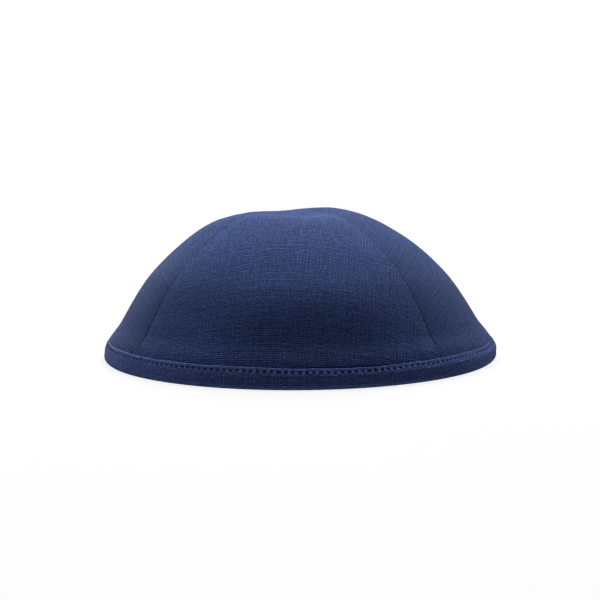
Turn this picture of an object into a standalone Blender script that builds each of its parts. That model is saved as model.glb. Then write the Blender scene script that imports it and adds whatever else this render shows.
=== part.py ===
"""Four-panel linen kippah skullcap, resting on its rim, in metres with +Z up.

The crown is four sewn panels. Their hems stand inside one folded rim band, a U in section that
rests on a narrow flat ring at z = 0. The origin is at the rim's centre on that plane, the front
of the cap faces -Y and azimuths are counted from the front towards +X.
"""

import math

import bmesh
import bpy
import numpy as np

RIM_RADIUS = 0.0850         # widest radius, outside the rim band
CAP_HEIGHT = 0.0637         # resting plane to the top of the crown
CLOTH = 0.0012              # crown wall: linen with its pressed seam allowances
SIDES = ("front", "right", "back", "left")  # the crown's panels, in order round the cap
SEAM_GAP = 0.0003           # clearance between neighbouring panels
SEAM_DIP = 0.0003           # how far a panel's edge turns in at a seam
SEAM_ROUND = 0.0024         # distance over which it turns in
BAND_WIDTH = 0.0073         # band's bottom edge to its outer folded edge
BAND_INNER_WIDTH = 0.0068   # the same on the inside of the cap
BAND_CLOTH = 0.0010         # one folded layer of the band
FIT_GAP = 0.0003            # clearance between the crown's hem and the band
HEM_LEAN = math.radians(16)  # how far the hem and band lean in from upright
REST_WIDTH = 0.0015         # flat ring where the band's fold is pressed by its own weight

ROWS = 20                   # faces from hem to top in a panel
COLUMNS = 20                # faces across a panel
BAND_STEPS = 80             # faces round the band
ARC_STEPS = 4               # faces in each rounded stretch of the band's section

# The crown's outer face above the band: height share of the room from the band's outer edge to
# CAP_HEIGHT, radius share of the crown's radius at that edge.
PROFILE = (
    # height, radius
    (0.059, 0.981),
    (0.137, 0.942),
    (0.225, 0.905),
    (0.313, 0.867),
    (0.401, 0.826),
    (0.489, 0.779),
    (0.576, 0.722),
    (0.664, 0.657),
    (0.752, 0.578),
    (0.830, 0.491),
    (0.899, 0.395),
    (0.948, 0.283),
    (0.977, 0.000),
)

# Soft folds and dents of the resting cloth. Each runs between two places, given as an azimuth in
# degrees and a share of the way from hem to top. Rise is a share of CAP_HEIGHT, negative for a
# hollow, and spread is a share of RIM_RADIUS.
FOLDS = (
    # start azimuth, start along, end azimuth, end along, rise, spread
    (-110, 0.42, -60, 0.42, 0.0189, 0.30),   # fuller left side
    (-115, 0.74, -55, 0.74, 0.0247, 0.13),   # left shoulder
    (65, 0.74, 125, 0.74, 0.0081, 0.13),     # right shoulder
    (-90, 0.62, -75, 0.62, 0.0097, 0.09),    # bulge under the left shoulder
    (-25, 0.75, 15, 0.77, 0.0078, 0.06),     # crest along the front of the top
    (-75, 0.83, 0, 0.88, -0.0490, 0.10),     # dip behind the crest
    (95, 0.90, 60, 0.96, 0.0266, 0.10),      # rise right of the middle
    (-5, 0.27, 20, 0.27, 0.0196, 0.12),      # belly low in front
    (-36, 0.15, -36, 0.45, -0.0120, 0.12),   # hollow beside the left seam
)
FOLD_FADE = 0.10            # share of the way up over which folds grow from nothing above the band
SHORTEST_FOLD = 1e-6        # a fold shorter than this is a round dent

HALF_PANEL = math.pi / len(SIDES)                        # half the angle that a panel spans
ROLL = CLOTH / 2 + FIT_GAP + BAND_CLOTH                  # outer radius of the band's fold
ROLL_RADIUS = RIM_RADIUS - ROLL                          # cap axis to the middle of the fold
ROLL_HEIGHT = math.sqrt(ROLL ** 2 - (REST_WIDTH / 2) ** 2)
HEM_NORMAL = np.array((math.cos(HEM_LEAN), math.sin(HEM_LEAN)))
HEM_UP = np.array((-math.sin(HEM_LEAN), math.cos(HEM_LEAN)))
FOLD_CENTRE = np.array((ROLL_RADIUS, ROLL_HEIGHT))
HEM_START = FOLD_CENTRE + HEM_NORMAL * CLOTH / 2         # lower end of the crown's outer face

LINEN_NAVY = (0.040, 0.060, 0.150, 1.0)
LINEN_NAVY_BAND = (0.030, 0.044, 0.105, 1.0)
LINEN_ROUGHNESS = 0.85


def clear_scene():
    for thing in list(bpy.data.objects):
        bpy.data.objects.remove(thing, do_unlink=True)


def cloth_material(name, colour):
    material = bpy.data.materials.new(name)
    material.use_nodes = True
    shader = material.node_tree.nodes["Principled BSDF"]
    shader.inputs["Base Color"].default_value = colour
    shader.inputs["Roughness"].default_value = LINEN_ROUGHNESS
    shader.inputs["Metallic"].default_value = 0.0
    return material


def smooth_step(value):
    value = np.clip(value, 0.0, 1.0)
    return value * value * (3.0 - 2.0 * value)


def smooth_curve(points, steps=16):
    """Return a rounded curve through the points, level where it meets the cap's axis."""
    before = 2 * points[0] - points[1]
    beyond = points[-2] * np.array((-1.0, 1.0))
    chain = [before, *points, beyond]
    curve = []
    for p0, p1, p2, p3 in zip(chain, chain[1:], chain[2:], chain[3:]):
        reach = [math.sqrt(np.linalg.norm(b - a)) for a, b in ((p0, p1), (p1, p2), (p2, p3))]
        start = (p1 - p0) / reach[0] - (p2 - p0) / (reach[0] + reach[1]) + (p2 - p1) / reach[1]
        end = (p2 - p1) / reach[1] - (p3 - p1) / (reach[1] + reach[2]) + (p3 - p2) / reach[2]
        for u in np.arange(steps) / steps:
            curve.append(
                p1 * (2 * u ** 3 - 3 * u ** 2 + 1)
                + start * reach[1] * (u ** 3 - 2 * u ** 2 + u)
                + p2 * (3 * u ** 2 - 2 * u ** 3)
                + end * reach[1] * (u ** 3 - u ** 2)
            )
    curve.append(points[-1])
    return np.array(curve)


class Meridian:
    """The crown's outer face as a curve of radius and height, from its hem to the top."""

    def __init__(self):
        leg = BAND_WIDTH - ROLL
        edge = HEM_START + HEM_UP * leg
        points = [HEM_START, HEM_START + HEM_UP * leg / 2, edge]
        room = CAP_HEIGHT - edge[1]
        for height, radius in PROFILE:
            points.append(np.array((edge[0] * radius, edge[1] + room * height)))
        self.curve = smooth_curve(points)
        steps = np.linalg.norm(np.diff(self.curve, axis=0), axis=1)
        self.run = np.concatenate(([0.0], np.cumsum(steps)))
        self.length = self.run[-1]
        self.slope = np.gradient(self.curve, self.run, axis=0)
        self.slope[-1] = (-1.0, 0.0)
        self.band_share = leg / self.length

    def at(self, share):
        """Return radius, height and the outward direction at a share of the way up."""
        run = share * self.length
        radius = np.interp(run, self.run, self.curve[:, 0])
        height = np.interp(run, self.run, self.curve[:, 1])
        inward = np.interp(run, self.run, self.slope[:, 0])
        upward = np.interp(run, self.run, self.slope[:, 1])
        size = math.hypot(inward, upward)
        return radius, height, upward / size, -inward / size

    def share_at_radius(self, radius):
        return float(np.interp(radius, self.curve[::-1, 0], self.run[::-1])) / self.length


def turned(radius, height, azimuth):
    return np.array((radius * math.sin(azimuth), -radius * math.cos(azimuth), height))


def fold_lines(meridian):
    """Return each fold as its two ends in space, its rise and its spread in metres."""
    lines = []
    for start_azimuth, start_along, end_azimuth, end_along, rise, spread in FOLDS:
        start = turned(*meridian.at(start_along)[:2], math.radians(start_azimuth))
        end = turned(*meridian.at(end_along)[:2], math.radians(end_azimuth))
        lines.append((start, end, rise * CAP_HEIGHT, spread * RIM_RADIUS))
    return lines


def lift(point, lines):
    """Add up what the folds raise or sink the cloth by at a place on the plain crown."""
    total = 0.0
    for start, end, rise, spread in lines:
        line = end - start
        length_squared = max(float(line @ line), SHORTEST_FOLD ** 2)
        along = min(1.0, max(0.0, float((point - start) @ line) / length_squared))
        distance = np.linalg.norm(point - start - line * along)
        total += rise * math.exp(-0.5 * (distance / spread) ** 2)
    return total


def crown_points(meridian, lines, share, azimuth, seam_distance):
    """Return the outer and inner points of the crown wall at one place."""
    radius, height, out, up = meridian.at(share)
    plain = turned(radius, height, azimuth)
    normal = turned(out, up, azimuth)
    fade = smooth_step((share - meridian.band_share) / FOLD_FADE)
    turn_in = SEAM_DIP * math.exp(-((seam_distance / SEAM_ROUND) ** 2))
    outer = plain + normal * fade * (lift(plain, lines) - turn_in)
    return outer, outer - normal * CLOTH


def add_solid(name, verts, faces, material, parent):
    mesh = bpy.data.meshes.new(name)
    mesh.from_pydata([tuple(v) for v in verts], [], faces)
    shell = bmesh.new()
    shell.from_mesh(mesh)
    bmesh.ops.recalc_face_normals(shell, faces=shell.faces)
    shell.to_mesh(mesh)
    shell.free()
    mesh.materials.append(material)
    mesh.shade_smooth()
    mesh.set_sharp_from_angle(angle=math.radians(50))
    solid = bpy.data.objects.new(name, mesh)
    bpy.context.collection.objects.link(solid)
    solid.parent = parent
    return solid


def crown_panel(name, middle, meridian, lines, material, parent):
    """One panel: a curved triangle of cloth from the hem to a point near the cap's axis."""
    tip_radius = SEAM_GAP / 2 / math.sin(HALF_PANEL)
    tip_share = meridian.share_at_radius(tip_radius)
    outer, inner = [], []
    for row in range(ROWS):
        share = tip_share * row / ROWS
        radius = meridian.at(share)[0]
        reach = HALF_PANEL - math.asin(SEAM_GAP / 2 / radius)
        for column in range(COLUMNS + 1):
            across = 2 * column / COLUMNS - 1
            across = (across + math.sin(math.pi / 2 * across)) / 2
            seam_distance = radius * math.sin(HALF_PANEL - abs(across) * reach)
            points = crown_points(meridian, lines, share, middle + across * reach, seam_distance)
            outer.append(points[0])
            inner.append(points[1])
    points = crown_points(meridian, lines, tip_share, middle, SEAM_GAP / 2)
    outer.append(points[0])
    inner.append(points[1])

    width = COLUMNS + 1
    tip = ROWS * width
    faces = []
    for row in range(ROWS - 1):
        for column in range(COLUMNS):
            a = row * width + column
            faces.append((a, a + 1, a + 1 + width, a + width))
    top_row = (ROWS - 1) * width
    for column in range(COLUMNS):
        faces.append((top_row + column, top_row + column + 1, tip))
    under = [tuple(index + len(outer) for index in reversed(face)) for face in faces]
    border = list(range(width))
    border += [row * width + COLUMNS for row in range(1, ROWS)]
    border.append(tip)
    border += [row * width for row in range(ROWS - 1, 0, -1)]
    rim = []
    for a, b in zip(border, border[1:] + border[:1]):
        rim.append((b, a, a + len(outer), b + len(outer)))
    return add_solid(name, outer + inner, faces + under + rim, material, parent)


def arc(centre, radius, start, end, steps):
    """Return points on an arc in the band's section, both ends included."""
    points = []
    for step in range(steps + 1):
        angle = start + (end - start) * step / steps
        points.append(centre + radius * np.array((math.cos(angle), math.sin(angle))))
    return points


def band_section():
    """The band's closed section as radius and height: two legs and the rolled bottom fold."""
    outer_leg = BAND_WIDTH - ROLL
    inner_leg = BAND_INNER_WIDTH - ROLL
    pocket = CLOTH / 2 + FIT_GAP
    middle = pocket + BAND_CLOTH / 2
    outer_edge = FOLD_CENTRE + HEM_UP * outer_leg + HEM_NORMAL * middle
    inner_edge = FOLD_CENTRE + HEM_UP * inner_leg - HEM_NORMAL * middle
    rest = math.asin(ROLL_HEIGHT / ROLL)
    points = arc(outer_edge, BAND_CLOTH / 2, HEM_LEAN, HEM_LEAN + math.pi, ARC_STEPS)
    points += arc(FOLD_CENTRE, pocket, HEM_LEAN, HEM_LEAN - math.pi, ARC_STEPS)
    points += arc(inner_edge, BAND_CLOTH / 2, HEM_LEAN, HEM_LEAN + math.pi, ARC_STEPS)
    points += arc(FOLD_CENTRE, ROLL, HEM_LEAN - math.pi, rest - math.pi, ARC_STEPS // 2)
    points += arc(FOLD_CENTRE, ROLL, -rest, HEM_LEAN, ARC_STEPS)
    return points


def rim_band(material, parent):
    """The band: its section turned round the cap's axis."""
    section = band_section()
    count = len(section)
    verts = []
    for step in range(BAND_STEPS):
        azimuth = 2 * math.pi * step / BAND_STEPS
        verts += [turned(radius, height, azimuth) for radius, height in section]
    faces = []
    for step in range(BAND_STEPS):
        here = step * count
        there = (step + 1) % BAND_STEPS * count
        for index in range(count):
            after = (index + 1) % count
            faces.append((here + index, here + after, there + after, there + index))
    return add_solid("rim_band", verts, faces, material, parent)


def main():
    clear_scene()
    cap = bpy.data.objects.new("kippah", None)
    bpy.context.collection.objects.link(cap)
    crown_linen = cloth_material("linen_crown", LINEN_NAVY)
    band_linen = cloth_material("linen_band", LINEN_NAVY_BAND)
    meridian = Meridian()
    lines = fold_lines(meridian)
    for index, side in enumerate(SIDES):
        name = "crown_panel_" + side
        crown_panel(name, 2 * HALF_PANEL * index, meridian, lines, crown_linen, cap)
    rim_band(band_linen, cap)


main()
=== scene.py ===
"""Looks of the navy linen skullcap: four sewn crown panels, a folded rim band and its topstitching.

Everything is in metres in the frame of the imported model: the cap rests at z = 0 on its rim, its
front faces -Y, and azimuths are counted in degrees from the front towards +X.
"""
import math
import bpy
import numpy as np
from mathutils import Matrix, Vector


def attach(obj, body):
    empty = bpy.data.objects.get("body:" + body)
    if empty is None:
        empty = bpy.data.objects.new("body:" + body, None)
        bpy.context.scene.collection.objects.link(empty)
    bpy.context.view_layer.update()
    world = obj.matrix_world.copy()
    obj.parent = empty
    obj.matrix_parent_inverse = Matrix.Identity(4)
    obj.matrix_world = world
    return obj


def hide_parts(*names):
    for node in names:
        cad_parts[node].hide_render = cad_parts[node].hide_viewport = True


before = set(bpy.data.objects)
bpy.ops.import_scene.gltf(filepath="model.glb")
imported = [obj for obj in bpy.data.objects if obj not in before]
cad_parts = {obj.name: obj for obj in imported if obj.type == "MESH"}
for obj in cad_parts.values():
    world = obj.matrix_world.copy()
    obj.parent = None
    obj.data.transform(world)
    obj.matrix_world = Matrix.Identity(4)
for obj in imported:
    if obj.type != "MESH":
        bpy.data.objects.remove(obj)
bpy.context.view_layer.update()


# Crown panels. Four curved triangles of navy plain-weave linen, cut flat, seamed to each other
# from hem to top with the seams pressed open inside, so that each edge rolls in to a thin line.

RIM_RADIUS = 0.0850         # widest radius, outside the rim band
CAP_HEIGHT = 0.0637         # resting plane to the top of the crown
CLOTH = 0.0012              # linen with its pressed seam allowances
BAND_WIDTH = 0.0073         # band's bottom edge to its outer folded edge
BAND_CLOTH = 0.0010         # one folded layer of the band
FIT_GAP = 0.0003            # room between the crown's hem and the band
HEM_LEAN = math.radians(16)  # how far hem and band lean in from upright
REST_WIDTH = 0.0015         # ring on which the band's fold is pressed flat
SIDES = ("front", "right", "back", "left")
HALF_PANEL = math.pi / len(SIDES)
SEAM_JOIN = 0.000002        # half of what is left open between two panels' edges

# Outer face of the crown above the band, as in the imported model. The radius shares, and CAP_HEIGHT
# with them, were fitted to the photo's outline.
PROFILE = (
    # height share, radius share
    (0.059, 0.981),
    (0.137, 0.942),
    (0.225, 0.905),
    (0.313, 0.867),
    (0.401, 0.826),
    (0.489, 0.779),
    (0.576, 0.722),
    (0.664, 0.657),
    (0.752, 0.578),
    (0.830, 0.491),
    (0.899, 0.395),
    (0.948, 0.283),
    (0.977, 0.000),
)

# Soft folds and dents of the resting cloth. The first eight rises were fitted to the photo's
# outline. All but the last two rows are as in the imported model, where the hollow beside the left
# seam is deeper and the crease line isn't made.
FOLDS = (
    # start azimuth, start along, end azimuth, end along, rise, spread
    (-110, 0.42, -60, 0.42, 0.0189, 0.30),   # fuller left side
    (-115, 0.74, -55, 0.74, 0.0247, 0.13),   # left shoulder
    (65, 0.74, 125, 0.74, 0.0081, 0.13),     # right shoulder
    (-90, 0.62, -75, 0.62, 0.0097, 0.09),    # bulge under the left shoulder
    (-25, 0.75, 15, 0.77, 0.0078, 0.06),     # crest along the front of the top
    (-75, 0.83, 0, 0.88, -0.0490, 0.10),     # dip behind the crest
    (95, 0.90, 60, 0.96, 0.0266, 0.10),      # rise right of the middle
    (-5, 0.27, 20, 0.27, 0.0196, 0.12),      # belly low in front
    (-36, 0.15, -36, 0.45, -0.0040, 0.12),   # hollow beside the left seam
    (-60, 0.770, 0, 0.765, 0.0045, 0.030),   # crease line along the crest
)
FOLD_FADE = 0.10            # share of the way up over which folds grow from nothing above the band

roll = CLOTH / 2 + FIT_GAP + BAND_CLOTH
roll_centre = np.array((RIM_RADIUS - roll, math.sqrt(roll ** 2 - (REST_WIDTH / 2) ** 2)))
hem_out = np.array((math.cos(HEM_LEAN), math.sin(HEM_LEAN)))
hem_up = np.array((-math.sin(HEM_LEAN), math.cos(HEM_LEAN)))
band_leg = BAND_WIDTH - roll


def rounded(points, steps=24):
    """A rounded curve through the points, level where it meets the cap's axis."""
    chain = [2 * points[0] - points[1], *points, points[-2] * np.array((-1.0, 1.0))]
    curve = []
    for p0, p1, p2, p3 in zip(chain, chain[1:], chain[2:], chain[3:]):
        reach = [math.sqrt(np.linalg.norm(b - a)) for a, b in ((p0, p1), (p1, p2), (p2, p3))]
        start = (p1 - p0) / reach[0] - (p2 - p0) / (reach[0] + reach[1]) + (p2 - p1) / reach[1]
        end = (p2 - p1) / reach[1] - (p3 - p1) / (reach[1] + reach[2]) + (p3 - p2) / reach[2]
        for u in np.arange(steps) / steps:
            curve.append(
                p1 * (2 * u ** 3 - 3 * u ** 2 + 1)
                + start * reach[1] * (u ** 3 - 2 * u ** 2 + u)
                + p2 * (3 * u ** 2 - 2 * u ** 3)
                + end * reach[1] * (u ** 3 - u ** 2)
            )
    curve.append(points[-1])
    return np.array(curve)


hem_start = roll_centre + hem_out * CLOTH / 2
band_edge = hem_start + hem_up * band_leg
room_above = CAP_HEIGHT - band_edge[1]
outline = [hem_start, hem_start + hem_up * band_leg / 2, band_edge]
outline += [np.array((band_edge[0] * r, band_edge[1] + room_above * h)) for h, r in PROFILE]
outline = rounded(outline)
outline_run = np.concatenate(([0.0], np.cumsum(np.linalg.norm(np.diff(outline, axis=0), axis=1))))
outline_slope = np.gradient(outline, outline_run, axis=0)
outline_slope[-1] = (-1.0, 0.0)
crown_length = outline_run[-1]
band_share = band_leg / crown_length


def on_outline(share):
    """Radius, height and outward direction of the plain crown at shares of the way up."""
    run = np.asarray(share) * crown_length
    radius = np.interp(run, outline_run, outline[:, 0])
    height = np.interp(run, outline_run, outline[:, 1])
    inward = np.interp(run, outline_run, outline_slope[:, 0])
    upward = np.interp(run, outline_run, outline_slope[:, 1])
    size = np.hypot(inward, upward)
    return radius, height, upward / size, -inward / size


def turned(radius, height, azimuth):
    return np.stack((radius * np.sin(azimuth), -radius * np.cos(azimuth), height + 0 * azimuth), -1)


def smooth_step(value):
    value = np.clip(value, 0.0, 1.0)
    return value * value * (3.0 - 2.0 * value)


def fold_lift(points):
    """What the soft folds raise or sink the cloth by."""
    total = np.zeros(points.shape[:-1])
    for start_azimuth, start_along, end_azimuth, end_along, rise, spread in FOLDS:
        start = turned(*on_outline(start_along)[:2], np.radians(start_azimuth))
        line = turned(*on_outline(end_along)[:2], np.radians(end_azimuth)) - start
        along = np.clip((points - start) @ line / (line @ line), 0.0, 1.0)
        distance = np.linalg.norm(points - start - along[..., None] * line, axis=-1)
        total += rise * CAP_HEIGHT * np.exp(-0.5 * (distance / (spread * RIM_RADIUS)) ** 2)
    return total


def wander(seed, values, longest, terms=5):
    """A smooth seeded wobble between about -1 and 1, with waves down from the longest."""
    chance = np.random.default_rng(seed)
    total = 0.0 * values
    for term in range(terms):
        wave = longest / (1.0 + 0.7 * term)
        total = total + np.sin(2 * math.pi * (values / wave + chance.random())) / (1 + 0.6 * term)
    return total / 2.2


SEAM_DIP = 0.00010          # how far each edge rolls in towards its seam
SEAM_ROUND = 0.0024         # distance over which it rolls in
CREASE_DIP = 0.00016        # how much further it drops at the stitched line
CREASE_ROUND = 0.00030      # distance over which it drops
SEAM_EASED = 0.8            # share of both that is gone near the top, where the seams lie flatter
SEAM_EASE_START = 0.028     # run up from the hem where they begin to
SEAM_EASE_REACH = 0.025     # run over which they do
PUCKER_DIP = 0.00010        # small gathers that the seam stitches pull in
PUCKER_REACH = 0.0045       # distance from the seam at which they die away
PUCKER_WAVE = 0.0085        # their longest wave along the seam
PUCKER_TOP = 0.02           # radius within which they fade towards the top
HEM_PUCKER_DIP = 0.00014    # small gathers beside the band
HEM_PUCKER_REACH = 0.0060   # height above the band at which they die away
HEM_PUCKER_WAVE = 0.0115    # their longest wave round the cap
HEM_PUFF = 0.00130          # how far the cloth can swell out just above the band
HEM_PUFF_START = 0.0006     # height above the band at which the swelling is there in full
HEM_PUFF_REACH = 0.0036     # height at which it dies away
HEM_PUFF_FALL = 1.3         # how steeply it does
FLARE_LEAST = 0.15          # share of the swelling that is there all round
FLARE_FRONT = 0.10          # more of it in front and behind
FLARE_SIDE = 0.70           # more of it at the two sides
FLARE_LEFT = 0.13           # more of it on the left, less on the right
RIPPLE = 0.00012            # upright ripples in the panels' upper half
RIPPLE_WAVE = 0.0125        # their longest wave
RIPPLE_RADIUS = 0.6 * RIM_RADIUS    # where that wave is measured round the cap
RIPPLE_START = 0.35         # share of the way up where they begin
RIPPLE_END = 0.92           # and where they end
RIPPLE_FADE = 0.2           # share over which they grow and fade


def hem_flare(azimuth):
    """Share of the swelling above the band at places round the cap."""
    right = np.sin(azimuth)
    ahead = np.cos(azimuth) ** 2
    return FLARE_LEAST + FLARE_FRONT * ahead + (FLARE_SIDE - FLARE_LEFT * right) * right ** 6


def crown_faces(panel, azimuth, share, seam_distance, side):
    """Outer and inner points of one panel's cloth, from azimuth, share up and seam distance."""
    radius, height, out, up = on_outline(share)
    plain = turned(radius, height, azimuth)
    normal = turned(out, up, azimuth)
    run = share * crown_length
    above_band = run - band_leg
    fade = smooth_step((share - band_share) / FOLD_FADE)
    eased = 1 - SEAM_EASED * smooth_step((run - SEAM_EASE_START) / SEAM_EASE_REACH)
    seam = SEAM_DIP * np.exp(-((seam_distance / SEAM_ROUND) ** 2)) * eased
    crease = CREASE_DIP * np.exp(-((seam_distance / CREASE_ROUND) ** 2)) * eased
    gather = np.where(
        side < 0,
        wander(10 + 2 * panel, run, PUCKER_WAVE),
        wander(11 + 2 * panel, run, PUCKER_WAVE),
    )
    pull = np.exp(-seam_distance / PUCKER_REACH) * smooth_step(radius / PUCKER_TOP)
    hem = HEM_PUCKER_DIP * wander(3, azimuth * RIM_RADIUS, HEM_PUCKER_WAVE)
    hem = hem * np.exp(-np.maximum(above_band, 0) / HEM_PUCKER_REACH)
    falling = np.exp(-((np.maximum(above_band, 0) / HEM_PUFF_REACH) ** HEM_PUFF_FALL))
    hem = hem + HEM_PUFF * hem_flare(azimuth) * falling
    hem = hem * smooth_step(above_band / HEM_PUFF_START)
    growing = smooth_step((share - RIPPLE_START) / RIPPLE_FADE)
    fading = smooth_step((RIPPLE_END - share) / RIPPLE_FADE)
    ripple = RIPPLE * growing * fading * wander(5, azimuth * RIPPLE_RADIUS, RIPPLE_WAVE)
    rise = fade * (fold_lift(plain) - seam - crease + ripple + PUCKER_DIP * gather * pull) + hem
    outer = plain + normal * rise[..., None]
    return outer, outer - normal * CLOTH


def cloth_object(name, points, faces, maps):
    """A mesh object with its maps: weave is the flat cloth in metres; seam is the nearest seam in metres
    on the crown, and on the band the painted shade beside the height up its leg.
    """
    mesh = bpy.data.meshes.new(name)
    mesh.from_pydata(points.tolist(), [], faces)
    corners = np.zeros(len(mesh.loops), np.int32)
    mesh.loops.foreach_get("vertex_index", corners)
    for title, places in maps.items():
        layer = mesh.uv_layers.new(name=title)
        layer.uv.foreach_set("vector", places[corners].astype(np.float32).ravel())
    mesh.shade_smooth()
    piece = bpy.data.objects.new(name, mesh)
    bpy.context.collection.objects.link(piece)
    return piece


PANEL_ROWS = 112
PANEL_COLUMNS = 104
HEM_ROWS = 5                # rows inside the band
HEM_FINE = 0.0045           # run above the band with closer rows
HEM_FINE_ROWS = 14          # rows in it
EDGE_CROWDING = 1.4         # crowds the columns towards the seams
TOP_SHORT = 0.0002          # how far each panel stops short of the middle of the top
GRAIN = {"front": 1.0, "right": -4.0, "back": 3.0, "left": -2.5}  # degrees off the panel's middle
CUT_APART = np.array((0.31, 0.17))  # from one panel's place in the cloth to the next one's

# The crown's inward slope at shares of the way up, as a smooth curve.
cone_fit = np.polyfit(outline_run / crown_length, -outline_slope[:, 0], 2)


def flat_cloth(share, across_angle, grain):
    """Where a point of the panel lay in the flat cut, from the cone that fits its height."""
    radius = on_outline(share)[0]
    run = share * crown_length
    inward = np.polyval(cone_fit, share)
    opened = across_angle * inward
    reach = radius / inward
    u = reach * np.sin(opened)
    v = run + reach * (1 - np.cos(opened))
    across = u * math.cos(grain) - v * math.sin(grain)
    along = v * math.cos(grain) + u * math.sin(grain)
    return np.stack((across, along), -1)


def crown_panel(index, side):
    """One panel as a closed piece of cloth, with its four edges walled."""
    middle = 2 * HALF_PANEL * index
    top_run = crown_length - SEAM_JOIN / math.sin(HALF_PANEL) - TOP_SHORT
    fine = band_leg + HEM_FINE
    share = np.concatenate((
        np.linspace(0, band_leg, HEM_ROWS, endpoint=False),
        np.linspace(band_leg, fine, HEM_FINE_ROWS, endpoint=False),
        np.linspace(fine, top_run, PANEL_ROWS + 1 - HEM_ROWS - HEM_FINE_ROWS),
    )) / crown_length
    across = np.linspace(-1, 1, PANEL_COLUMNS + 1)
    across = np.sign(across) * (1 - (1 - np.abs(across)) ** EDGE_CROWDING)
    share, across = np.meshgrid(share, across, indexing="ij")
    radius = on_outline(share)[0]
    reach = HALF_PANEL - np.arcsin(SEAM_JOIN / radius)
    seam_distance = radius * np.sin(HALF_PANEL - np.abs(across) * reach)
    outer, inner = crown_faces(index, middle + across * reach, share, seam_distance, across)
    weave = flat_cloth(share, across * reach, math.radians(GRAIN[side]))
    weave = weave + CUT_APART * (index + 1)

    count = outer[..., 0].size
    width = PANEL_COLUMNS + 1
    ids = np.arange(count).reshape(PANEL_ROWS + 1, width)
    quads = np.stack((ids[:-1, :-1], ids[:-1, 1:], ids[1:, 1:], ids[1:, :-1]), -1).reshape(-1, 4)
    border = np.concatenate((ids[0, :-1], ids[:-1, -1], ids[-1, :0:-1], ids[:0:-1, 0]))
    after = np.roll(border, -1)
    wall = np.stack((after, border, border + count, after + count), -1)
    faces = quads.tolist() + (quads[:, ::-1] + count).tolist() + wall.tolist()
    points = np.concatenate((outer.reshape(-1, 3), inner.reshape(-1, 3)))
    seam = np.stack((seam_distance, share * crown_length), -1)
    maps = {
        "weave": np.tile(weave.reshape(-1, 2), (2, 1)),
        "seam": np.tile(seam.reshape(-1, 2), (2, 1)),
    }
    return cloth_object("linen_panel_" + side, points, faces, maps)


WARP_PITCH = 0.00063        # threads that run up the panel
WEFT_PITCH = 0.00088        # thicker threads that run across it
WARP_BEND = 0.00028         # how far a thread wanders off its straight line
WEFT_BEND = 0.00032
BEND_ALONG = 110.0          # waves of that wandering to a metre along the threads
BEND_ACROSS = 70.0          # and across them
SLUB_WAVES = 190.0          # thick and thin places to a metre of thread
SLUB_STEP = 5.37            # keeps one thread's thick places apart from the next one's
THREAD_NARROW = 0.36        # half a thin thread's width, as a share of the pitch
THREAD_WIDEN = 0.55         # what a thick place adds to it
CROSSING_RISE = 0.9         # how far threads rise and sink where they cross
WEFT_RISE = 0.15            # how much further the thicker threads stand up
PIT_HEIGHT = 0.5            # height of the gaps between threads, where the shade is deepest
CREST_HEIGHT = 1.95         # height of the threads' crests
CREST_PAINTED_HIGHLIGHT = 2.1            # painted highlight: how light the crests are
DARKEST_TONE = 0.02         # least that the painted shade leaves of the cloth's colour in a gap
KNOT_SPREAD = 0.4           # from the darkest crossing of two threads to the lightest
PATCH_SPREAD = 0.24         # from the darkest patch of cloth to the lightest
PATCH_WAVES = 22.0          # such patches to a metre of cloth
SEAM_STITCH = 0.0025        # pitch of the stitches that show faintly in the seam line
SEAM_LINE_CORE = 0.00010    # half width of the darkest part of that line
SEAM_LINE_EDGE = 0.00042    # half width of all of it
SEAM_LINE_PAINTED_SHADE = 0.22       # painted shade of the seam's groove: how much darker the line is
SEAM_LINE_DASH = 0.12       # how much of that comes and goes with the stitches
SEAM_LINE_LOW = 0.028       # run up from the hem to which the line is dark in full
SEAM_LINE_HIGH = 0.056      # run at which it has gone
CROWN_NAVY = (0.0390, 0.0688, 0.2080)


class Loom:
    """A material's node tree, with short words for the nodes that draw woven cloth."""

    def __init__(self, name):
        self.material = bpy.data.materials.new(name)
        self.material.use_nodes = True
        self.tree = self.material.node_tree
        self.shader = self.tree.nodes["Principled BSDF"]

    def add(self, kind, inputs=(), **settings):
        node = self.tree.nodes.new(kind)
        for key, value in settings.items():
            setattr(node, key, value)
        for slot, value in dict(inputs).items():
            if hasattr(value, "links"):
                self.tree.links.new(value, node.inputs[slot])
            else:
                node.inputs[slot].default_value = value
        return node

    def calc(self, operation, *values):
        return self.add("ShaderNodeMath", dict(enumerate(values)), operation=operation).outputs[0]

    def ramp(self, value, start, end, first, last):
        """From first to last as the value goes from start to end."""
        inputs = {0: value, 1: start, 2: end, 3: first, 4: last}
        return self.add("ShaderNodeMapRange", inputs).outputs[0]

    def noise(self, x, y, detail=1.0):
        place = self.add("ShaderNodeCombineXYZ", {0: x, 1: y}).outputs[0]
        inputs = {"Vector": place, "Scale": 1.0, "Detail": detail, "Roughness": 0.55}
        return self.add("ShaderNodeTexNoise", inputs, noise_dimensions="2D").outputs[0]

    def chance(self, value, shift=0.0):
        moved = self.calc("ADD", value, shift)
        return self.add("ShaderNodeTexWhiteNoise", {"W": moved}, noise_dimensions="1D").outputs[0]


def seam_line(loom):
    """The stitched line between two panels: partly its stitches, partly painted shade of its groove, a
    little darker low down on the crown.
    """
    place = loom.add("ShaderNodeUVMap", uv_map="seam").outputs[0]
    near = loom.add("ShaderNodeSeparateXYZ", {0: place})
    line = loom.ramp(near.outputs[0], SEAM_LINE_CORE, SEAM_LINE_EDGE, 1.0, 0.0)
    turn = loom.calc("SINE", loom.calc("MULTIPLY", near.outputs[1], 2 * math.pi / SEAM_STITCH))
    dash = loom.calc("MULTIPLY_ADD", turn, SEAM_LINE_DASH, -SEAM_LINE_PAINTED_SHADE)
    low = loom.ramp(near.outputs[1], SEAM_LINE_LOW, SEAM_LINE_HIGH, 1.0, 0.0)
    dash = loom.calc("MULTIPLY", dash, low)
    return loom.calc("MULTIPLY_ADD", line, dash, 1.0)


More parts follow.
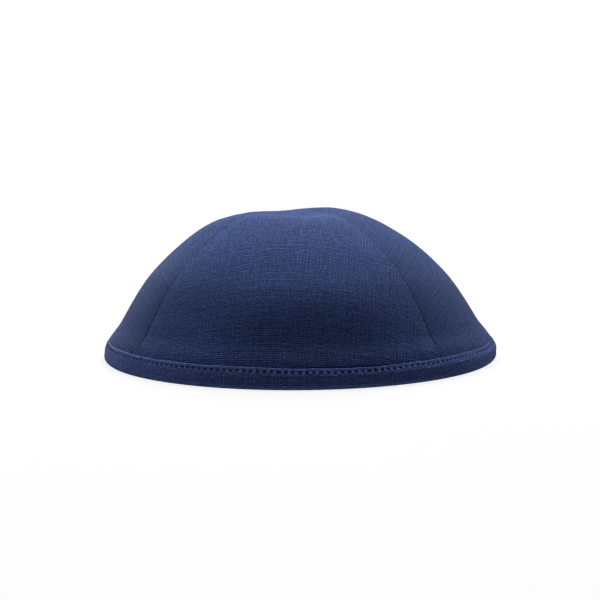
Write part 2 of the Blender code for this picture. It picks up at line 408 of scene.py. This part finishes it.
def linen(name, navy, thread_contrast, slub_contrast, bump, painted_relief, sheen, finish):
    """Plain-weave linen: round threads over and under each other, uneven in width and tone, with painted
    shade in the gaps between them and painted highlights on their crests.
    """
    loom = Loom(name)
    place = loom.add("ShaderNodeUVMap", uv_map="weave").outputs[0]
    split = loom.add("ShaderNodeSeparateXYZ", {0: place})
    u, v = split.outputs[0], split.outputs[1]
    along_u = loom.calc("MULTIPLY", u, BEND_ALONG)
    along_v = loom.calc("MULTIPLY", v, BEND_ALONG)
    across_u = loom.calc("MULTIPLY", u, BEND_ACROSS)
    across_v = loom.calc("MULTIPLY_ADD", v, BEND_ACROSS, 7.7)
    bend_u = loom.noise(across_u, along_v, 3.0)
    bend_v = loom.noise(along_u, across_v, 3.0)
    warp = loom.calc("DIVIDE", loom.calc("MULTIPLY_ADD", bend_u, WARP_BEND, u), WARP_PITCH)
    weft = loom.calc("DIVIDE", loom.calc("MULTIPLY_ADD", bend_v, WEFT_BEND, v), WEFT_PITCH)
    warp_number = loom.calc("FLOOR", warp)
    weft_number = loom.calc("FLOOR", weft)

    def thread(across, along, number, other, flip, seed):
        """Height and shade of one set of threads."""
        slub_row = loom.calc("MULTIPLY_ADD", number, SLUB_STEP, seed)
        stretch = loom.calc("MULTIPLY", along, SLUB_WAVES)
        slub = loom.noise(slub_row, stretch, 2.0)
        beside = loom.noise(loom.calc("ADD", slub_row, SLUB_STEP), stretch, 2.0)
        middle = loom.calc("SUBTRACT", loom.calc("SUBTRACT", across, number), 0.5)
        wide = loom.calc("MULTIPLY_ADD", slub, THREAD_WIDEN, THREAD_NARROW)
        edge = loom.calc("DIVIDE", middle, wide)
        round_top = loom.calc("SUBTRACT", 1.0, loom.calc("MULTIPLY", edge, edge))
        crossed = loom.calc("ADD", loom.calc("SUBTRACT", other, 0.5), number)
        phase = loom.calc("MULTIPLY", crossed, math.pi)
        over = loom.calc("MULTIPLY", loom.calc("COSINE", phase), flip)
        height = loom.calc("ADD", round_top, over)
        own = loom.calc("SUBTRACT", loom.chance(number, seed), loom.chance(number, seed + 1.0))
        shade = loom.calc("MULTIPLY_ADD", own, thread_contrast, 1.0)
        shade = loom.calc("MULTIPLY_ADD", loom.calc("SUBTRACT", slub, beside), slub_contrast, shade)
        return height, shade, round_top

    warp_height, warp_shade, _ = thread(warp, v, warp_number, weft, CROSSING_RISE, 1.3)
    weft_height, weft_shade, weft_round = thread(weft, u, weft_number, warp, -CROSSING_RISE, 9.1)
    weft_height = loom.calc("ADD", weft_height, WEFT_RISE)
    height = loom.calc("MAXIMUM", warp_height, weft_height)
    weft_on_top = loom.calc("GREATER_THAN", weft_height, warp_height)
    difference = loom.calc("SUBTRACT", weft_shade, warp_shade)
    shade = loom.calc("MULTIPLY_ADD", difference, weft_on_top, warp_shade)
    # Painted shade in the gaps and painted highlight on the crests and on the weft's rounded tops.
    painted_relief_light = loom.ramp(height, PIT_HEIGHT, CREST_HEIGHT, 0.0, CREST_PAINTED_HIGHLIGHT)
    painted_relief_light = loom.calc("MULTIPLY_ADD", painted_relief_light, painted_relief, 1.0 - painted_relief)
    tone = loom.calc("MAXIMUM", loom.calc("MULTIPLY", shade, painted_relief_light), DARKEST_TONE)
    painted_rib_highlight = loom.calc("MAXIMUM", weft_round, 0.0)
    tone = loom.calc("MULTIPLY", tone, loom.calc("MULTIPLY_ADD", painted_rib_highlight, 0.6 * painted_relief, 1 - 0.4 * painted_relief))
    crossing = loom.add("ShaderNodeCombineXYZ", {0: warp_number, 1: weft_number}).outputs[0]
    knot = loom.add("ShaderNodeTexWhiteNoise", {"Vector": crossing}, noise_dimensions="2D").outputs[0]
    tone = loom.calc("MULTIPLY", tone, loom.calc("MULTIPLY_ADD", knot, KNOT_SPREAD, 1 - KNOT_SPREAD / 2))
    patch_u = loom.calc("MULTIPLY", u, PATCH_WAVES)
    patch_v = loom.calc("MULTIPLY", v, PATCH_WAVES)
    patch = loom.noise(patch_u, patch_v, 3.0)
    patch = loom.calc("MULTIPLY_ADD", patch, PATCH_SPREAD, 1 - PATCH_SPREAD / 2)
    tone = loom.calc("MULTIPLY", tone, patch)
    tone = loom.calc("MULTIPLY", tone, finish(loom))
    scaled = loom.add("ShaderNodeVectorMath", {0: navy, "Scale": tone}, operation="SCALE").outputs[0]
    loom.tree.links.new(scaled, loom.shader.inputs["Base Color"])
    relief = loom.add("ShaderNodeBump", {"Strength": 1.0, "Distance": bump, "Height": height}).outputs[0]
    loom.tree.links.new(relief, loom.shader.inputs["Normal"])
    surface = {
        "Roughness": 0.9,
        "Specular IOR Level": 0.2,
        "Sheen Weight": sheen,
        "Sheen Roughness": 0.35,
        "Sheen Tint": (0.40, 0.62, 1.0, 1.0),
    }
    for socket, value in surface.items():
        loom.shader.inputs[socket].default_value = value
    return loom.material


CROWN_SHEEN = 0.16
crown_linen = linen(
    "crown_linen", CROWN_NAVY, thread_contrast=0.25, slub_contrast=0.50,
    bump=0.00012, painted_relief=0.55, sheen=CROWN_SHEEN, finish=seam_line,
)
front_linen = linen(
    "front_linen", CROWN_NAVY, thread_contrast=0.30, slub_contrast=0.65,
    bump=0.00014, painted_relief=1.20, sheen=CROWN_SHEEN, finish=seam_line,
)
for index, side in enumerate(SIDES):
    panel = crown_panel(index, side)
    panel.data.materials.append(front_linen if side == "front" else crown_linen)
    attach(panel, "root")
    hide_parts("crown_panel_" + side)


# Rim band. One strip of the same linen folded over the crown's hem, a U in section. The
# topstitching draws a shallow groove just under its folded upper edge, and the cloth puffs
# a little between the stitches.

STITCH_PITCH = 0.0025
STITCH_DROP = 0.00072       # folded edge to the line of stitches
STEPS_PER_STITCH = 6        # faces round the band to one stitch
STITCH_ZONE = 0.0025        # run below the folded edge with closer rows
GROOVE_DIP = 0.00032        # how deep the stitches draw the cloth in
GROOVE_ABOVE = 0.00034      # how far that reaches above them
GROOVE_BELOW = 0.00130      # and below them
GROOVE_SLACK = 0.28         # share of the depth that is lost between two stitches
EDGE_PRESS = 0.42           # share of the cloth's thickness pressed out at the folded edge
EDGE_REACH = 0.0013         # run below the edge over which it is
BAND_PUFF = 0.00056         # how far the band swells out
PUFF_CREST = 0.58           # how far up its leg it swells most
PUFF_LOWER = 0.08           # how much lower that is at the right side
PUFF_RIGHT = 0.25           # how much more it swells there
UNEVEN = 0.00010            # small unevenness of the cloth below the stitches
UNEVEN_DROP = 0.0020        # run from the stitches down to where it is greatest
UNEVEN_REACH = 0.0011       # run over which it dies away
UNEVEN_LONG = 0.013         # its longest wave round the band
UNEVEN_SHORT = 0.0041       # and that of the finer unevenness on it
EDGE_WOBBLE = 0.00013       # how far the folded edge wavers
EDGE_WAVE = 0.031           # the longest wave of that
FACE_DEPTH = 0.6 * BAND_CLOTH  # from the fold's inside to where a leg's outer face begins
PAINTED_SHADE_START = 0.2       # share of the leg where the painted shade on the band begins
PAINTED_SHADE_END = 0.8         # and where it is darkest
BAND_TOP_PAINTED_SHADE = 0.08            # painted shade: how much darker the band is at its folded edge
BAND_TOP_PAINTED_SHADE_SIDES = 0.30      # and how much more so at the two sides
# Painted light: the band is the same linen as the crown, given more than twice the crown's colour for
# light it doesn't get from the lamps.
BAND_NAVY_PAINTED_LIGHT = (0.100, 0.155, 0.440)
BAND_INNER_WIDTH = 0.0068   # band's bottom edge to its inner folded edge
inner_leg = BAND_INNER_WIDTH - roll
stitch_line = band_leg - STITCH_DROP
stitch_radius = (hem_start + hem_up * stitch_line)[0] + FIT_GAP + BAND_CLOTH

# How far the hand-laid folded edge runs above or below its mean line, typed from offsets that were
# measured between the photo and a render.
EDGE_RUN = (
    # azimuth, metres
    (-90, 0.00015),
    (-45, 0.00014),
    (-30, -0.00020),
    (-15, 0.00004),
    (-3, -0.00004),
    (9, -0.00058),
    (20, -0.00054),
    (31, -0.00042),
    (42, 0.00014),
    (55, 0.00018),
    (90, 0.00010),
    (180, 0.00000),
    (270, 0.00015),
)
STITCHES = round(2 * math.pi * stitch_radius / STITCH_PITCH)


def swelled(up_leg, azimuth):
    """How far the outer face swells out at places up the band's leg, lower down on the right."""
    share = np.clip(up_leg / band_leg, 0.0, 1.0)
    right = np.sin(azimuth)
    crest = PUFF_CREST - PUFF_LOWER * right
    return BAND_PUFF * (1 + PUFF_RIGHT * right) * np.sin(math.pi / 2 * share / crest)


def edge_run(azimuth):
    """How far the folded edge runs above its mean line, smoothed over 9 degrees to each side."""
    degrees = (np.degrees(azimuth) + 90) % 360 - 90
    around = np.linspace(-9, 9, 7)
    table = np.array(EDGE_RUN)
    return sum(np.interp(degrees + turn, table[:, 0], table[:, 1]) for turn in around) / len(around)


def band_section():
    """Closed section of the strip: places as radius and height, and the way each one faces."""
    pocket = CLOTH / 2 + FIT_GAP
    middle = pocket + BAND_CLOTH / 2
    places, ways = [], []

    def leg(across, stops, way):
        for along in stops:
            places.append(roll_centre + hem_up * along + hem_out * across)
            ways.append(way)

    def bend(centre, radius, start, end, steps, flip=1.0):
        for t in np.linspace(0, 1, steps, endpoint=False):
            angle = start + (end - start) * t
            way = np.array((math.cos(angle), math.sin(angle)))
            places.append(centre + radius * way)
            ways.append(way * flip)

    lean = HEM_LEAN
    bend(roll_centre + hem_up * band_leg + hem_out * middle, BAND_CLOTH / 2, lean, lean + math.pi, 8)
    leg(pocket, np.linspace(band_leg, 0, 3, endpoint=False), -hem_out)
    bend(roll_centre, pocket, lean, lean - math.pi, 6, -1.0)
    leg(-pocket, np.linspace(0, inner_leg, 3, endpoint=False), hem_out)
    bend(roll_centre + hem_up * inner_leg - hem_out * middle, BAND_CLOTH / 2, lean, lean + math.pi, 6)
    leg(-roll, np.linspace(inner_leg, 0, 8, endpoint=False), -hem_out)
    bend(roll_centre, roll, lean - math.pi, lean, 14)
    leg(roll, np.linspace(0, band_leg - STITCH_ZONE, 7, endpoint=False), hem_out)
    leg(roll, np.linspace(band_leg - STITCH_ZONE, band_leg, 16, endpoint=False), hem_out)
    return np.array(places), np.array(ways)


def rim_band():
    """The strip all round the rim, one section after the other."""
    place, way = band_section()
    steps = STITCHES * STEPS_PER_STITCH
    azimuth = 2 * math.pi * np.arange(steps) / steps
    phase = 2 * math.pi * np.arange(steps) / STEPS_PER_STITCH
    run = azimuth * stitch_radius
    up_leg = (place - roll_centre) @ hem_up
    across = (place - roll_centre) @ hem_out
    pocket = CLOTH / 2 + FIT_GAP
    thickness = across - pocket
    swell = swelled(up_leg[None, :], azimuth[:, None]) * smooth_step(thickness / BAND_CLOTH)
    outside = thickness > FACE_DEPTH
    inside = -across - pocket > FACE_DEPTH
    pressed = EDGE_PRESS * smooth_step((up_leg - band_leg + EDGE_REACH) / EDGE_REACH)
    place = place - hem_out * (np.maximum(thickness, 0) * pressed)[:, None]
    from_line = up_leg - stitch_line
    groove = np.exp(-((from_line / np.where(from_line > 0, GROOVE_ABOVE, GROOVE_BELOW)) ** 2))
    tight = 1 - GROOVE_SLACK + GROOVE_SLACK * np.cos(phase)
    dip = -GROOVE_DIP * (groove * (outside | inside))[None, :] * tight[:, None]
    below = np.exp(-(((from_line + UNEVEN_DROP) / UNEVEN_REACH) ** 2)) * outside
    uneven = wander(21, run, UNEVEN_LONG) * 0.5 + wander(22, run, UNEVEN_SHORT) * 0.5
    dip = dip + UNEVEN * below[None, :] * uneven[:, None] + swell
    lift = EDGE_WOBBLE * wander(23, run, EDGE_WAVE) + edge_run(azimuth)
    lift = lift[:, None] * smooth_step(up_leg / band_leg)[None, :]
    radius = place[None, :, 0] + dip * way[None, :, 0] + lift * hem_up[0]
    height = np.maximum(place[None, :, 1] + dip * way[None, :, 1] + lift * hem_up[1], 0.0)
    spin = azimuth[:, None]
    points = np.stack((radius * np.sin(spin), -radius * np.cos(spin), height), -1)
    count = len(place)
    ids = np.arange(steps * count).reshape(steps, count)
    there = np.roll(ids, -1, axis=0)
    faces = np.stack((ids, np.roll(ids, -1, axis=1), np.roll(there, -1, axis=1), there), -1)
    cloth_run = np.concatenate(([0.0], np.cumsum(np.linalg.norm(np.diff(place, axis=0), axis=1))))
    weave = np.stack((run[:, None] + 0 * radius, cloth_run[None, :] + 0 * radius), -1).reshape(-1, 2)
    # Painted shade towards the folded edge, stronger at the sides, carried in the seam map beside the
    # height up the leg.
    fade = (BAND_TOP_PAINTED_SHADE + BAND_TOP_PAINTED_SHADE_SIDES * np.sin(azimuth) ** 2)[:, None] + 0 * radius
    seam = np.stack((fade, up_leg[None, :] + 0 * radius), -1).reshape(-1, 2)
    maps = {"weave": weave, "seam": seam}
    return cloth_object("linen_rim_band", points.reshape(-1, 3), faces.reshape(-1, 4).tolist(), maps)


def painted_band_top_shade(loom):
    """Painted shade: the band's colour darkens towards its folded edge, most at the two sides, holding
    down the light its upper part takes.
    """
    place = loom.add("ShaderNodeUVMap", uv_map="seam").outputs[0]
    near = loom.add("ShaderNodeSeparateXYZ", {0: place})
    high = loom.ramp(near.outputs[1], PAINTED_SHADE_START * band_leg, PAINTED_SHADE_END * band_leg, 0.0, 1.0)
    return loom.calc("SUBTRACT", 1.0, loom.calc("MULTIPLY", high, near.outputs[0]))


band = rim_band()
band_linen = linen(
    "band_linen", BAND_NAVY_PAINTED_LIGHT, thread_contrast=0.30, slub_contrast=0.60,
    bump=0.00006, painted_relief=0.42, sheen=0.03, finish=painted_band_top_shade,
)
band.data.materials.append(band_linen)
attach(band, "root")
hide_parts("rim_band")


# Topstitching. A lockstitch in dark navy sewing thread through both legs of the band, so the
# same row of stitches shows outside and inside the cap.

THREAD_RADIUS = 0.00026
STITCH_SHOWN = 0.78         # share of the pitch that lies on the cloth
STITCH_SEAT = 1.05 * GROOVE_DIP     # how deep the stitches lie in the groove
STITCH_SINK = 0.00022       # how far a stitch's ends go into the cloth
STITCH_TAPER = 0.35         # how much thinner they are there
STITCH_DRIFT = 0.00009      # how far a stitch may lie above or below the line
STITCH_LENGTHS = (0.85, 1.1)    # shortest and longest, as shares of the usual one
STITCH_TILTS = (-0.00006, 0.00010)  # how far one end may stand above the other
STITCH_RINGS = 8
STITCH_ROUND = 6


def topstitching():
    """Every stitch of both rows as a short bent thread with closed ends."""
    line = roll_centre + hem_up * stitch_line
    chance = np.random.default_rng(31)
    points, faces = [], []
    for way in (hem_out, -hem_out):
        top = line + way * (roll - STITCH_SEAT)
        for stitch in range(STITCHES):
            middle = 2 * math.pi * stitch / STITCHES
            shown = STITCH_SHOWN * chance.uniform(*STITCH_LENGTHS) * math.pi / STITCHES
            tilt = chance.uniform(*STITCH_TILTS)
            lift = edge_run(middle) * smooth_step(stitch_line / band_leg)
            lift += chance.uniform(-STITCH_DRIFT, STITCH_DRIFT)
            swell = swelled(stitch_line, middle) if way is hem_out else 0.0
            for ring, t in enumerate(np.linspace(-1, 1, STITCH_RINGS)):
                azimuth = middle + t * shown
                sunk = STITCH_SINK * t ** 4 - swell
                thick = THREAD_RADIUS * (1 - STITCH_TAPER * t ** 4)
                base = len(points)
                for corner in range(STITCH_ROUND):
                    angle = 2 * math.pi * corner / STITCH_ROUND
                    spot = top + way * (math.cos(angle) * thick - sunk)
                    spot = spot + hem_up * (math.sin(angle) * thick + tilt * t + lift)
                    points.append((spot[0] * math.sin(azimuth), -spot[0] * math.cos(azimuth), spot[1]))
                    if ring:
                        this = base + corner
                        after = base + (corner + 1) % STITCH_ROUND
                        faces.append((this, after, after - STITCH_ROUND, this - STITCH_ROUND))
            first = len(points) - STITCH_RINGS * STITCH_ROUND
            faces.append(tuple(range(first, first + STITCH_ROUND)))
            faces.append(tuple(range(len(points) - 1, len(points) - STITCH_ROUND - 1, -1)))
    return cloth_object("topstitch_thread", np.array(points), faces, {})


thread = topstitching()
thread_material = bpy.data.materials.new("navy_thread")
thread_material.use_nodes = True
thread_shader = thread_material.node_tree.nodes["Principled BSDF"]
thread_shader.inputs["Base Color"].default_value = (0.012, 0.020, 0.068, 1.0)
thread_shader.inputs["Roughness"].default_value = 0.8
thread_shader.inputs["Specular IOR Level"].default_value = 0.2
thread.data.materials.append(thread_material)
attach(thread, "root")


# Floor and light. A plain white floor with a white wall far round it. Soft round lamps stand behind
# the cap and at its sides, two of them low down. A faint one lies on the floor and faces up, for
# the light that a white floor throws back.

FLOOR_RADIUS = 0.5
BACKDROP_RADIUS = 3.0
WALL_HEIGHT = 3.0
ROUND_STEPS = 48            # corners of the floor and the wall


def white(name, points, faces, base, glow):
    """A white surface that shows to the camera but throws no light on the cap."""
    mesh = bpy.data.meshes.new(name)
    mesh.from_pydata(points, [], faces)
    material = bpy.data.materials.new(name + "_white")
    material.use_nodes = True
    shader = material.node_tree.nodes["Principled BSDF"]
    shader.inputs["Base Color"].default_value = (base, base, base, 1.0)
    shader.inputs["Roughness"].default_value = 0.9
    shader.inputs["Specular IOR Level"].default_value = 0.0
    shader.inputs["Emission Color"].default_value = (1.0, 1.0, 1.0, 1.0)
    shader.inputs["Emission Strength"].default_value = glow
    mesh.materials.append(material)
    thing = bpy.data.objects.new(name, mesh)
    bpy.context.collection.objects.link(thing)
    thing.visible_diffuse = False
    thing.visible_glossy = False


def circle(radius, height):
    turns = 2 * math.pi * np.arange(ROUND_STEPS) / ROUND_STEPS
    return [(radius * math.cos(turn), radius * math.sin(turn), height) for turn in turns]


near = circle(FLOOR_RADIUS, 0.0)
far = circle(BACKDROP_RADIUS, 0.0)
high = circle(BACKDROP_RADIUS, WALL_HEIGHT)
white("floor", near, [tuple(range(ROUND_STEPS))], base=0.15, glow=0.85)
backdrop_faces = []
for ring in (0, ROUND_STEPS):
    for step in range(ROUND_STEPS):
        here = ring + step
        after = ring + (step + 1) % ROUND_STEPS
        backdrop_faces.append((here, here + ROUND_STEPS, after + ROUND_STEPS, after))
white("backdrop", near + far + high, backdrop_faces, base=0.10, glow=1.0)

LAMP_DISTANCE = 1.10        # from the aim to each lamp on a stand
LAMP_AIM = 0.03             # height above the floor that those lamps are turned to
BOUNCE_HEIGHT = 0.0004      # how far the faint lamp lies above the floor
BOUNCE_SIZE = 1.0
BOUNCE_POWER = 0.46


def soft_lamp(name, place, size, power, aim):
    lamp = bpy.data.lights.new(name, "AREA")
    lamp.shape = "DISK"
    lamp.size = size
    lamp.energy = power
    thing = bpy.data.objects.new(name, lamp)
    thing.location = place
    way = Vector(np.array(aim) - np.array(place))
    thing.rotation_euler = way.to_track_quat("-Z", "Y").to_euler()
    thing.visible_camera = False
    bpy.context.collection.objects.link(thing)


# The powers were fitted to the photo's shading first, and then set one by one.
LAMPS = (
    # name, azimuth, elevation, size, power
    ("back_lamp", 180, 50, 0.60, 9.3),
    ("left_lamp", -95, 45, 0.60, 2.5),
    ("left_back_lamp", -135, 62, 0.60, 1.9),
    ("right_back_lamp", 135, 62, 0.60, 4.8),
    ("low_left_lamp", -135, 12, 0.36, 3.2),
    ("low_right_lamp", 130, 12, 0.36, 1.5),
)
for name, azimuth, elevation, size, power in LAMPS:
    spread = LAMP_DISTANCE * math.cos(math.radians(elevation))
    place = (
        spread * math.sin(math.radians(azimuth)),
        -spread * math.cos(math.radians(azimuth)),
        LAMP_AIM + LAMP_DISTANCE * math.sin(math.radians(elevation)),
    )
    soft_lamp(name, place, size, power, aim=(0.0, 0.0, LAMP_AIM))
soft_lamp("floor_bounce", (0.0, 0.0, BOUNCE_HEIGHT), BOUNCE_SIZE, BOUNCE_POWER, aim=(0.0, 0.0, 1.0))

world = bpy.data.worlds.new("studio")
bpy.context.scene.world = world
world.use_nodes = True
world.node_tree.nodes["Background"].inputs["Color"].default_value = (1.0, 1.0, 1.0, 1.0)
world.node_tree.nodes["Background"].inputs["Strength"].default_value = 0.0


# Camera. At the photo's angle: 5 degrees round to the right, 6 degrees above the floor. Its angle,
# roll, aim and lens were fitted to the photo's outline.

CAMERA_AZIMUTH = math.radians(5.2)
CAMERA_ELEVATION = math.radians(6.02)
CAMERA_ROLL = math.radians(0.437)
CAMERA_DISTANCE = 0.400
CAMERA_AIM = (0.00040, 0.00004, 0.02314)
SENSOR_WIDTH = 36.0         # in millimetres, as is the lens
LENS = 54.42
camera_data = bpy.data.cameras.new("camera")
camera_data.sensor_width = SENSOR_WIDTH
camera_data.lens = LENS
camera = bpy.data.objects.new("camera", camera_data)
bpy.context.collection.objects.link(camera)
back = np.array((
    math.sin(CAMERA_AZIMUTH) * math.cos(CAMERA_ELEVATION),
    -math.cos(CAMERA_AZIMUTH) * math.cos(CAMERA_ELEVATION),
    math.sin(CAMERA_ELEVATION),
))
camera.location = np.array(CAMERA_AIM) + CAMERA_DISTANCE * back
camera.rotation_euler = (math.pi / 2 - CAMERA_ELEVATION, CAMERA_ROLL, CAMERA_AZIMUTH)
bpy.context.scene.camera = camera
bpy.context.scene.view_settings.view_transform = "Standard"
